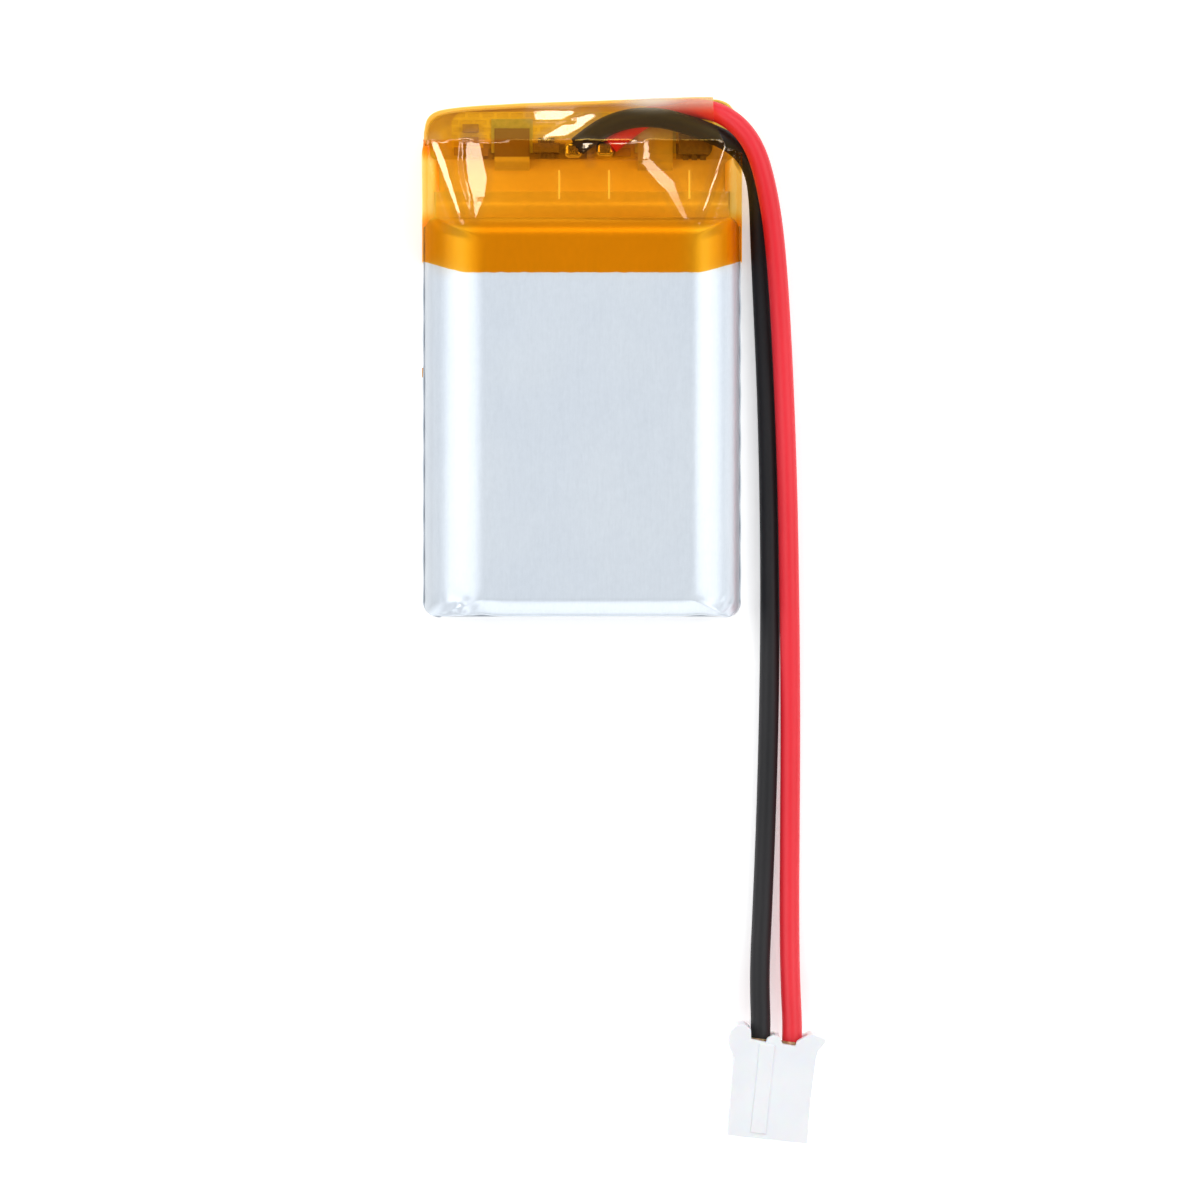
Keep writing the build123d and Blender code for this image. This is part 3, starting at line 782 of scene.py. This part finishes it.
# Folds of the film. Each has its path, its width along the path, how much it climbs per millimetre
# from the path's right side to its left, and how far it fades out on the right and on the left.
FOLDS = [
    # left of the front: two folds that run from the cell's shoulder to the end's corner
    ([(-6.66, 8.45), (-6.45, 9.9), (-6.50, 10.9), (-6.72, 12.2), (-6.85, 13.4)],
     [0.15, 0.95, 1.36, 1.28, 0.95], -0.36, (2.0, 0.35)),
    ([(-7.4, 8.04), (-7.96, 9.8), (-8.7, 12.0), (-9.21, 13.4)],
     [0.15, 0.34, 0.55, 0.45], -0.40, (0.7, 0.7)),
    # right of the front
    ([(6.45, 8.4), (5.45, 10.5), (4.4, 11.6), (4.0, 12.1), (4.0, 13.4)],
     [0.35, 0.8, 0.7, 0.7, 0.4], 0.34, (1.0, 1.0)),
    ([(7.25, 8.0), (9.06, 13.4)], [0.2, 0.32], 0.40, (0.5, 0.5)),
    # small ones under the crease
    ([(0.1, 13.1), (0.75, 13.1)], [0.55, 0.3], -0.15, (0.25, 0.25)),
    ([(1.6, 13.2), (3.3, 13.2)], [0.35, 0.2], -0.14, (0.25, 0.25)),
    ([(0.55, 11.95), (0.35, 12.9)], [0.15, 0.25], 0.36, (0.25, 0.25)),
    # on the slope over the board
    ([(-2.95, 15.04), (-0.5, 15.0)], [0.8, 0.7], 0.26, (0.15, 0.15)),
    ([(-2.3, 13.45), (-1.3, 13.9), (-0.4, 14.45), (0.75, 15.05)],
     [0.6, 0.9, 0.9, 0.35], 0.26, (0.3, 0.15)),
]


def fold_height(x, y, path, widths, climb, spreads):
    """How much one fold lifts or lowers the film at each place."""
    best = np.full(x.shape, 1e9)
    height = np.zeros(x.shape)
    for k in range(len(path) - 1):
        a, b = np.array(path[k]), np.array(path[k + 1])
        run = b - a
        length = np.linalg.norm(run)
        run = run / length
        along = (x - a[0]) * run[0] + (y - a[1]) * run[1]
        inside = np.clip(along, 0, length)
        distance = np.hypot(x - a[0] - inside * run[0], y - a[1] - inside * run[1])
        signed = (y - a[1]) * run[0] - (x - a[0]) * run[1]
        half = (widths[k] + (widths[k + 1] - widths[k]) * inside / length) / 2
        beyond = np.zeros(x.shape)
        if k == 0:
            beyond = np.maximum(beyond, -along)
        if k == len(path) - 2:
            beyond = np.maximum(beyond, along - length)
        spread = np.where(signed < 0, spreads[0], spreads[1])
        fade = np.clip(1 - np.maximum(np.abs(signed) - half, 0) / spread, 0, 1)
        ends = np.clip(1 - beyond / (0.5 * max(spreads)), 0, 1)
        value = climb * np.clip(signed, -half, half) * fade * ends
        nearer = distance < best
        height = np.where(nearer, value, height)
        best = np.where(nearer, distance, best)
    return height


def plan_curve(points, shares):
    """Places on a smoothed line through the points, each at a share of its length."""
    line = np.array(points)
    for _ in range(3):
        cut = [line[0]]
        for a, b in zip(line[:-1], line[1:]):
            cut += [0.75 * a + 0.25 * b, 0.25 * a + 0.75 * b]
        line = np.array(cut + [line[-1]])
    steps = np.concatenate([[0], np.cumsum(np.linalg.norm(np.diff(line, axis=0), axis=1))])
    return np.stack([np.interp(shares * steps[-1], steps, line[:, k]) for k in range(2)], axis=1)


def corner_radius(y):
    """The radius of the film's rounded long edges at a place along the pack."""
    return np.interp(y, (7.6, 9.5, 11.5, 13.4, 16.3), (2.95, 2.1, 1.2, 0.5, 0.5))


def left_edge(y):
    """The film's left edge at a place along the pack: it turns in a little at the end."""
    return -TAPE_HALF + 0.14 * smoothstep(12.2, 13.6, y)


def drop(radius, gap):
    """How far a rounded edge has dropped at a distance from its outline."""
    inset = np.clip(radius - gap, 0, radius)
    return radius - np.sqrt(np.maximum(radius ** 2 - inset ** 2, 0))


def tape_sleeve():
    """The film round the tab end: a bag of front, walls and back, open at the cell."""
    corner, across = 22, 130
    theta = np.radians(np.linspace(90, 0, corner + 1))[:-1]
    lower_rows, upper_rows = 74, 32
    plan_x, plan_y = [], []
    for j in range(lower_rows + 1):
        # The last row but one lies close under the crease, which keeps it crisp.
        t = min(j / (lower_rows - 1), 1 - 0.004 * (j < lower_rows))
        y_mid = TAPE_LOW_Y + (CREASE_Y - TAPE_LOW_Y) * t
        left = left_edge(y_mid)
        radius = corner_radius(y_mid)
        x = np.concatenate([
            left + radius * (1 - np.sin(theta)),
            np.linspace(left + radius, TAPE_HALF - radius, across),
            TAPE_HALF - radius * (1 - np.sin(theta[::-1])),
        ])
        raised = 0.80 * np.clip((np.abs(x) - 7.3) / 2.7, 0, 1) ** 1.2
        low = TAPE_LOW_Y + raised + 0.035 * ripple(x, 0 * x, 2.1, 5.0)
        plan_x.append(x)
        plan_y.append(low + (CREASE_Y - low) * t)
    crease_x = plan_x[-1]
    share = (crease_x - crease_x[0]) / (crease_x[-1] - crease_x[0])
    outline = plan_curve(END_PLAN, share)
    for j in range(1, upper_rows + 1):
        t = math.sin(math.pi / 2 * j / upper_rows) ** 0.9
        plan_x.append(crease_x + (outline[:, 0] - crease_x) * t)
        plan_y.append(CREASE_Y + (outline[:, 1] - CREASE_Y) * t)
    x, y = np.array(plan_x), np.array(plan_y)
    rows, columns = x.shape

    # How far each place is from the outline, which the rounded edges start from.
    dense = plan_curve(END_PLAN, np.linspace(0, 1, 400))
    to_sides = np.minimum(x - left_edge(y), TAPE_HALF - x)
    to_end = np.min(np.hypot(x[..., None] - dense[:, 0], y[..., None] - dense[:, 1]), axis=-1)
    upper = np.arange(rows)[:, None] > lower_rows
    gap = np.clip(np.where(upper, to_end, to_sides), 0, None)
    gap[-1] = 0
    gap[lower_rows + 1:, [0, -1]] = 0

    z = np.interp(y, FRONT_PROFILE_Y, FRONT_PROFILE_Z) - drop(corner_radius(y), gap)
    free = smoothstep(7.6, 8.6, y) * smoothstep(0.0, 0.7, gap)
    for path, widths, climb, spreads in FOLDS:
        on_slope = path[-1][1] > CREASE_Y + 0.01
        reach = smoothstep(0, 0.12, (y - CREASE_Y) if on_slope else (CREASE_Y - y))
        z += fold_height(x, y, path, widths, climb, spreads) * free * reach
    z += 0.022 * ripple(x, y, 0.55, 7.0) * free
    # The film's end laps over on the right.
    z += 0.04 * smoothstep(9.03, 9.09, x) * (y < 12.8)
    z_back = drop(BACK_RADIUS, gap)

    points = [*np.stack([x, y, z], axis=-1).reshape(-1, 3)]
    points += [*np.stack([x, y, z_back], axis=-1).reshape(-1, 3)]
    front = np.arange(rows * columns).reshape(rows, columns)
    back = front + rows * columns
    faces = []
    for r in range(rows - 1):
        for c in range(columns - 1):
            faces.append((front[r, c], front[r, c + 1], front[r + 1, c + 1], front[r + 1, c]))
            faces.append((back[r, c], back[r + 1, c], back[r + 1, c + 1], back[r, c + 1]))
    rim_front = [*front[:-1, 0], *front[-1], *front[-2::-1, -1]]
    rim_back = [v + rows * columns for v in rim_front]
    previous, steps = rim_front, 14
    for step in range(1, steps + 1):
        current = rim_back
        if step < steps:
            t = step / steps
            current = range(len(points), len(points) + len(rim_front))
            points += [points[a] + (points[b] - points[a]) * t for a, b in zip(rim_front, rim_back)]
        for k in range(len(rim_front) - 1):
            faces.append((previous[k], previous[k + 1], current[k + 1], current[k]))
        previous = current

    # The black lead presses the right wall in where it leaves.
    x, y, z = np.array(points).T
    pressed = smoothstep(11.4, 12.4, y) * smoothstep(9.3, 9.9, x)
    pressed *= smoothstep(0.3, 0.9, z) * (1 - smoothstep(2.6, 3.6, z))
    points = np.stack([x - 0.45 * pressed, y, z], axis=1)
    return mesh_piece("tape", points, faces, film)


OPENING = [(8.2, 17.0), (8.2, 14.6), (9.0, 12.9), (10.5, 12.5), (10.5, 17.0)]
OPENING_Z = 0.9


def inside_polygon(px, py, polygon):
    """Whether a place is inside a polygon, by how many sides lie to its right."""
    found = False
    for (ax, ay), (bx, by) in zip(polygon, polygon[1:] + polygon[:1]):
        if (ay > py) != (by > py) and px < (bx - ax) * (py - ay) / (by - ay) + ax:
            found = not found
    return found


def near_opening(face):
    middle = face.calc_center_median()
    return middle.x > 7.8 * MM and middle.y > 12.0 * MM


def split_faces(built, at, normal):
    """Splits the faces near the opening along a plane through a place."""
    faces = [f for f in built.faces if near_opening(f)]
    geometry = faces + list({e for f in faces for e in f.edges})
    geometry += list({v for f in faces for v in f.verts})
    at = [c * MM for c in at]
    bmesh.ops.bisect_plane(built, geom=geometry, dist=0.00001 * MM, plane_co=at, plane_no=normal)


def cut_opening(piece):
    """Cuts away the film's corner where the leads leave."""
    built = bmesh.new()
    built.from_mesh(piece.data)
    bmesh.ops.remove_doubles(built, verts=built.verts, dist=0.0005 * MM)
    for a, b in zip(OPENING, OPENING[1:] + OPENING[:1]):
        split_faces(built, (*a, 0), Vector((b[1] - a[1], a[0] - b[0], 0)).normalized())
    split_faces(built, (0, 0, OPENING_Z), Vector((0, 0, 1)))
    gone = []
    for f in built.faces:
        middle = f.calc_center_median() / MM
        if middle.z > OPENING_Z and inside_polygon(middle.x, middle.y, OPENING):
            gone.append(f)
    bmesh.ops.delete(built, geom=gone, context="FACES")
    built.to_mesh(piece.data)
    built.free()


FILM_TINT = (0.992, 0.722, 0.22)
GLUED_MIRROR, FREE_MIRROR = 0.002, 0.085
BACK_TOP = 0.3


def near_folds(x, y):
    """1 on the film's folds, and 0 away from them."""
    near = np.zeros(x.shape)
    for path, widths, *_ in FOLDS:
        for k in range(len(path) - 1):
            (ax, ay), (bx, by) = path[k], path[k + 1]
            run_x, run_y = bx - ax, by - ay
            share = ((x - ax) * run_x + (y - ay) * run_y) / (run_x ** 2 + run_y ** 2)
            inside = np.clip(share, 0, 1)
            distance = np.hypot(x - ax - inside * run_x, y - ay - inside * run_y)
            half = (widths[k] + (widths[k + 1] - widths[k]) * inside) / 2
            near = np.maximum(near, 1 - smoothstep(0.05, 0.5, distance - half))
    return near


def set_film_state(piece):
    """Stores the film's tint at each point, how much it mirrors there, and how milky it is."""
    mesh = piece.data
    place_at = np.zeros(len(mesh.vertices) * 3, np.float32)
    mesh.vertices.foreach_get("co", place_at)
    x, y, z = place_at.reshape(-1, 3).T / MM
    on_back = z < BACK_TOP
    # The film is doubled up to the crease, and once more where its end laps over.
    layers = 2.0 - smoothstep(CREASE_Y - 0.04, CREASE_Y + 0.04, y)
    layers += 0.4 * ((x > 9.06) & (y < 12.8) & ~on_back)
    # It is paler along its walls. It is paler over the terrace as painted light, which lifts the
    # shade beneath, and over the rolled edges as a painted highlight, which brightens the foil's
    # highlight beneath.
    beside = smoothstep(8.9, 9.4, np.abs(x)) * smoothstep(8.0, 9.2, y)
    beside *= 1 - smoothstep(12.3, 13.0, y)
    layers = np.where(on_back, 2.0, layers) * (1 - 0.62 * beside)
    layers -= 0.25 * smoothstep(8.2, 9.0, y) * (1 - smoothstep(12.6, 13.2, y)) * ~on_back
    rolled = np.exp(-((np.abs(x) - 7.6) ** 2)) * (1 - smoothstep(7.9, 8.4, y))
    layers -= 0.6 * rolled * ~on_back
    tint = np.ones((len(x), 4), np.float32)
    for k, share in enumerate(FILM_TINT):
        tint[:, k] = share ** (layers / 2)
    state = np.zeros((len(x), 4), np.float32)
    # Outside the long folds the film hugs the rolled sides, and mirrors little.
    past_fold = np.abs(x) - 7.4 - 0.335 * (y - 8.0)
    hugging = np.where(x > 0, smoothstep(0.1, 0.3, past_fold), smoothstep(0.3, 0.5, past_fold))
    free = smoothstep(7.7, 8.4, y) * (1 - 0.9 * hugging * (1 - smoothstep(12.9, 13.4, y)))
    free *= 1 - 0.55 * np.exp(-(((x - 6.1) / 0.9) ** 2) - ((y - 9.3) / 1.0) ** 2)
    free *= 0.3 + 0.7 * near_folds(x, y)
    state[:, 0] = GLUED_MIRROR + (FREE_MIRROR - GLUED_MIRROR) * free
    # The end is milky over the red lead.
    veil = 0.42 * np.exp(-(((x - 4.0) / 1.4) ** 2)) + 0.22 * smoothstep(3.5, 5.5, x)
    state[:, 1] = veil * np.exp(-(((y - 15.95) / 0.45) ** 2)) * (z > 1.2) * (x > 0)
    state[:, 3] = 1
    for name, values in (("film_tint", tint), ("film_state", state)):
        stored = mesh.color_attributes.new(name, "FLOAT_COLOR", "POINT")
        stored.data.foreach_set("color", values.ravel())


tape = tape_sleeve()
cut_opening(tape)
modified(tape, "SOLIDIFY", thickness=FILM * MM, offset=-1.0)
tape.data.shade_smooth()
for edge in tape.data.edges:
    ends = [tape.data.vertices[v].co / MM for v in edge.vertices]
    on_crease = all(abs(c.y - CREASE_Y) < 0.01 and c.z > 1.0 for c in ends)
    edge.use_edge_sharp = on_crease and -5.2 < ends[0].x < 8.0
set_film_state(tape)
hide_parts("polyimide_tape")


PAPER_Z, PAPER_INSET, TURN_UP = 0.2, 0.09, 0.9


def paper_sheet():
    """The paper under the board, from the seal's edge to the film's end, where it turns up."""
    rows = []
    for y in np.linspace(10.3, CREASE_Y, 20):
        half = 9.0 + (TAPE_HALF - PAPER_INSET - 9.0) * smoothstep(12.2, 13.0, y)
        rows.append([(x, y, PAPER_Z) for x in np.linspace(-min(half, 9.56), half, 90)])
    crease_row = rows[-1]
    outline = plan_curve(END_PLAN, np.linspace(0, 1, 90))
    flat_steps, up_steps = 12, 4
    for step in range(1, flat_steps + up_steps + 1):
        t = min(step / flat_steps, 1)
        z = PAPER_Z + TURN_UP * max(step - flat_steps, 0) / up_steps
        row = []
        for start, (end_x, end_y) in zip(crease_row, outline):
            end_x -= PAPER_INSET * np.sign(end_x) * (abs(end_x) > 8.5)
            end_y -= PAPER_INSET * (end_y > 14)
            x, y = start[0] + (end_x - start[0]) * t, start[1] + (end_y - start[1]) * t
            row.append((x, max(y, CREASE_Y), z))
        rows.append(row)
    return strip_mesh("paper", rows, 0.12, fish_paper)


paper = paper_sheet()
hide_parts("insulation_paper")


def sealant_beads():
    """The bead squeezed out along each side of the tabs' sealing film."""
    paths = [
        np.array([(bead_x, y, 0.5) for y in np.linspace(10.0, 11.8, 12)])
        for bead_x in (-1.44, 1.69, 6.74)
    ]
    # Painted light: the beads glow a little, so that they show bright under the film.
    glowing_bead = principled(
        "bead", [(0.95, 0.97, 0.95), (1, 1, 1)], 3.0, (0.3, 0.4),
        Emission_Color=(1, 1, 1, 1), Emission_Strength=0.45,
    )
    return tubes_piece("sealant_beads", paths, 0.055, 8, glowing_bead)


sealant_beads()

# ---------------------------------------------------------------- floor and light

FLOOR_HALF = 3.0

floor_mesh = bpy.data.meshes.new("floor")
ways = ((-1, -1), (1, -1), (1, 1), (-1, 1))
floor_mesh.from_pydata([(FLOOR_HALF * a, FLOOR_HALF * b, 0) for a, b in ways], [], [(0, 1, 2, 3)])
floor = bpy.data.objects.new("floor", floor_mesh)
link(floor)
floor_material, tree = new_material("pale_floor")
shade = ramp(tree, grain(tree, 0.004), [(0.3, (0.90, 0.90, 0.90)), (0.7, (0.92, 0.92, 0.92))])
diffuse = add(tree, "BsdfDiffuse", {"Color": shade})
glow = add(tree, "Emission", {"Color": (1, 1, 1, 1), "Strength": 0.40})
lit = add(tree, "AddShader", {0: diffuse.outputs[0], 1: glow.outputs[0]})
finish_material(floor_material, tree, lit.outputs[0])
floor_mesh.materials.append(floor_material)

CELL_AIM = (0.0, -4.0, 4.0)
TAPE_AIM = (0.0, 11.0, 5.0)


def softbox(name, target, azimuth, from_vertical, distance, size, radiance):
    """A soft light aimed at a place. Its radiance is in units of a fully lit white surface."""
    data = bpy.data.lights.new(name, "AREA")
    data.shape = "RECTANGLE"
    data.size, data.size_y = (s * MM for s in size)
    area = size[0] * size[1] * MM * MM
    data.energy = radiance * area * math.pi
    lamp = bpy.data.objects.new(name, data)
    a, v = math.radians(azimuth), math.radians(from_vertical)
    direction = Vector((math.sin(v) * math.cos(a), math.sin(v) * math.sin(a), math.cos(v)))
    lamp.location = Vector(target) * MM + direction * distance * MM
    lamp.rotation_euler = direction.to_track_quat("Z", "Y").to_euler()
    link(lamp)


softbox("left_box", CELL_AIM, 180, 38, 450, (205, 460), 1.9)
softbox("right_box", CELL_AIM, 0, 43, 450, (190, 460), 1.75)
softbox("top_box", CELL_AIM, 90, 47, 450, (300, 110), 2.5)
softbox("bottom_box", CELL_AIM, 270, 52, 450, (380, 160), 2.4)
# These are what the film's folds mirror.
softbox("left_lamp", TAPE_AIM, 158, 42.5, 420, (140, 105), 4.6)
softbox("right_lamp", TAPE_AIM, 22, 42.5, 420, (140, 105), 4.6)
softbox("corner_lamp", TAPE_AIM, 53, 51, 420, (130, 130), 3.0)
softbox("top_lamp", TAPE_AIM, 82, 42, 420, (125, 90), 4.8)

world = bpy.data.worlds.new("studio")
world.use_nodes = True
tree = world.node_tree
tree.nodes.clear()
direction = add(tree, "TexCoord").outputs["Generated"]
up = add(tree, "SeparateXYZ", {0: direction}).outputs["Z"]
SKY = [(0.0, (0.95, 0.96, 0.97)), (0.45, (0.75, 0.76, 0.78)), (0.92, (0.10, 0.10, 0.11))]
sky = ramp(tree, up, SKY)
background = add(tree, "Background", {"Color": sky, "Strength": 0.48})
add(tree, "OutputWorld", {"Surface": background.outputs[0]})
bpy.context.scene.world = world
